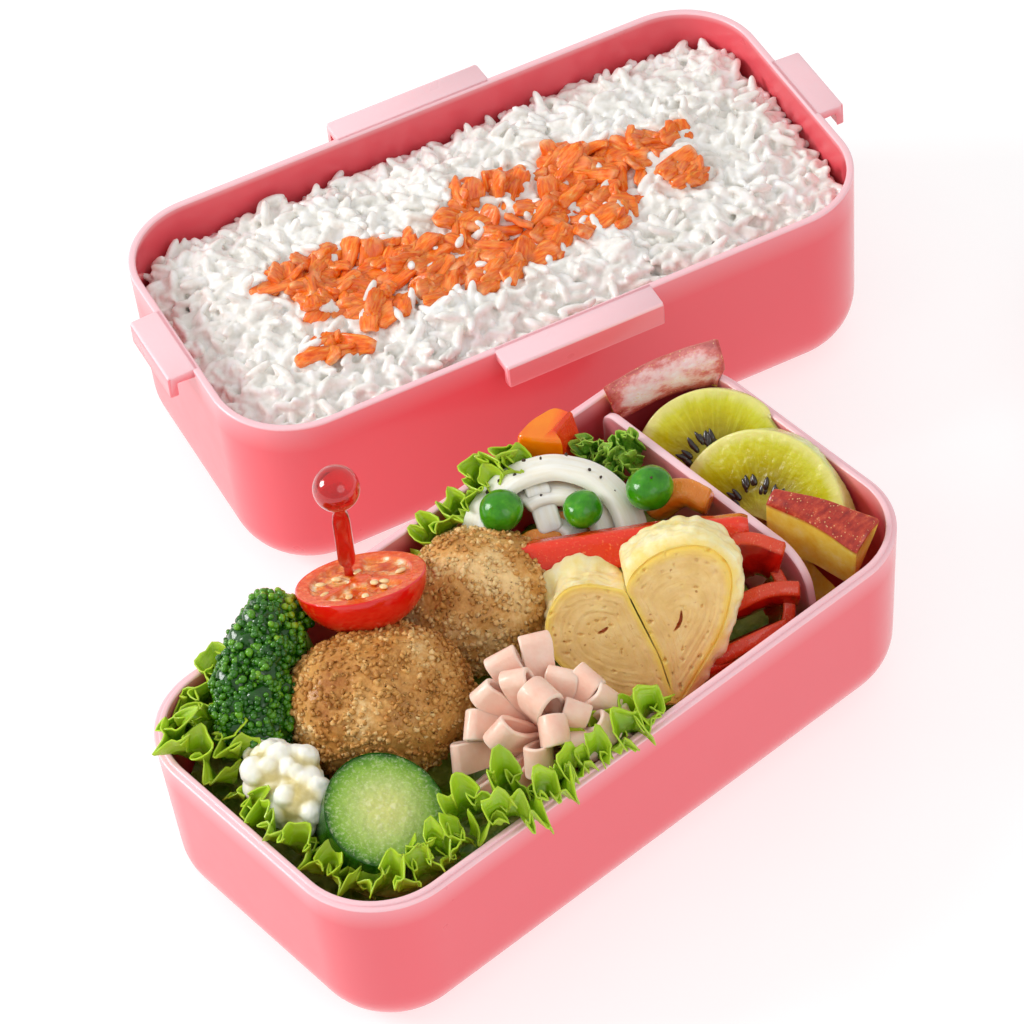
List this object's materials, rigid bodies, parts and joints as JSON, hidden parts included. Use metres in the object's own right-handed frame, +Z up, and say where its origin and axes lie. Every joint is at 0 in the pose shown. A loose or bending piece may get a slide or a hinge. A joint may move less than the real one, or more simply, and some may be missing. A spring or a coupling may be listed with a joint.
{
  "type": "bento lunch box",
  "caption": "Pink lunch box opened for a meal: a lower tier with a divider and side dishes, an upper tier of rice with flaked salmon, and a sealed lid with hinged side latches.",
  "frame": {"origin": "middle of the lower tier's flat base, on the table", "axes": "+Z up; +X along the lower tier's long side, towards the fruit compartment; +Y towards the upper tier"},
  "size_m": [0.3374, 0.2998, 0.0865],
  "materials": {
    "tier_pink": "glossy injection-moulded plastic, soft sheen",
    "divider_pink": "glossy moulded plastic with a paler top edge",
    "lid_pink": "glossy moulded plastic, soft sheen",
    "latch_pale": "glossy pale pink moulded plastic",
    "seal": "matt silicone rubber",
    "pick_red": "clear red plastic, high gloss",
    "rice": "moist cooked rice, slightly translucent",
    "salmon": "flaked cooked salmon, moist",
    "lettuce": "frilled leaf, satin",
    "crumb": "fried bread crumb, rough",
    "cucumber": "wet cut flesh, dark satin skin",
    "egg": "rolled omelette, satin",
    "tomato": "wet glossy skin and flesh",
    "broccoli": "dense buds, satin",
    "cauliflower": "dense curds, satin",
    "ham": "moist sliced ham",
    "red_pepper": "glossy skin",
    "orange_pepper": "glossy skin",
    "onion": "cooked onion, translucent satin",
    "pea": "glossy skin",
    "kiwi": "wet cut flesh, brown matt skin",
    "apple": "wet cut flesh, speckled red skin"
  },
  "bodies": {
    "lower_tier": {"lower_tier": "tier_pink", "lettuce_bed": "lettuce", "croquette_front": "crumb", "croquette_back": "crumb", "cucumber_slice": "cucumber", "egg_roll_left": "egg", "egg_roll_right": "egg", "tomato_half": "tomato", "broccoli": "broccoli", "cauliflower": "cauliflower", "ham_flower": "ham", "pepper_strip": "red_pepper", "pepper_chunk": "red_pepper", "onion_slice": "onion", "pea_left": "pea", "pea_middle": "pea", "pea_right": "pea", "orange_pepper": "orange_pepper", "orange_chunk": "orange_pepper", "parsley": "lettuce", "lettuce_left": "lettuce", "lettuce_corner": "lettuce", "lettuce_front": "lettuce", "lettuce_back": "lettuce", "kiwi_front": "kiwi", "kiwi_back": "kiwi", "apple_front": "apple", "apple_back": "apple", "apple_low": "apple"},
    "upper_tier": {"upper_tier": "tier_pink", "rice_bed": "rice", "salmon_left": "salmon", "salmon_middle": "salmon", "salmon_right": "salmon"},
    "divider": {"divider": "divider_pink"},
    "food_pick": {"food_pick": "pick_red"},
    "lid": {"lid_shell": "lid_pink", "lid_seal": "seal"},
    "latch_right": {"latch_right": "latch_pale"},
    "latch_back": {"latch_back": "latch_pale"},
    "latch_left": {"latch_left": "latch_pale"},
    "latch_front": {"latch_front": "latch_pale"}
  },
  "joints": [
    {"name": "upper_lift", "type": "slide", "parent": "lower_tier", "child": "upper_tier", "axis": [0, 0, 1], "range_m": [0, 0.08]},
    {"name": "divider_lift", "type": "slide", "parent": "lower_tier", "child": "divider", "axis": [0, 0, 1], "range_m": [0, 0.05]},
    {"name": "pick_pull", "type": "slide", "parent": "lower_tier", "child": "food_pick", "axis": [0, 0, 1], "range_m": [0, 0.03]},
    {"name": "lid_lift", "type": "slide", "parent": "lower_tier", "child": "lid", "axis": [0, 0, 1], "range_m": [0, 0.06]},
    {"name": "latch_right_swing", "type": "hinge", "parent": "lid", "child": "latch_right", "pos_m": [0.23208, 0.01231, 0.0111], "axis": [0.8049, -0.5934, 0], "range_deg": [0, 115]},
    {"name": "latch_back_swing", "type": "hinge", "parent": "lid", "child": "latch_back", "pos_m": [0.14054, -0.03028, 0.0111], "axis": [0.5934, 0.8049, 0], "range_deg": [0, 115]},
    {"name": "latch_left_swing", "type": "hinge", "parent": "lid", "child": "latch_left", "pos_m": [0.12692, -0.13031, 0.0111], "axis": [-0.8049, 0.5934, 0], "range_deg": [0, 115]},
    {"name": "latch_front_swing", "type": "hinge", "parent": "lid", "child": "latch_front", "pos_m": [0.21846, -0.08772, 0.0111], "axis": [-0.5934, -0.8049, 0], "range_deg": [0, 115]}
  ]
}
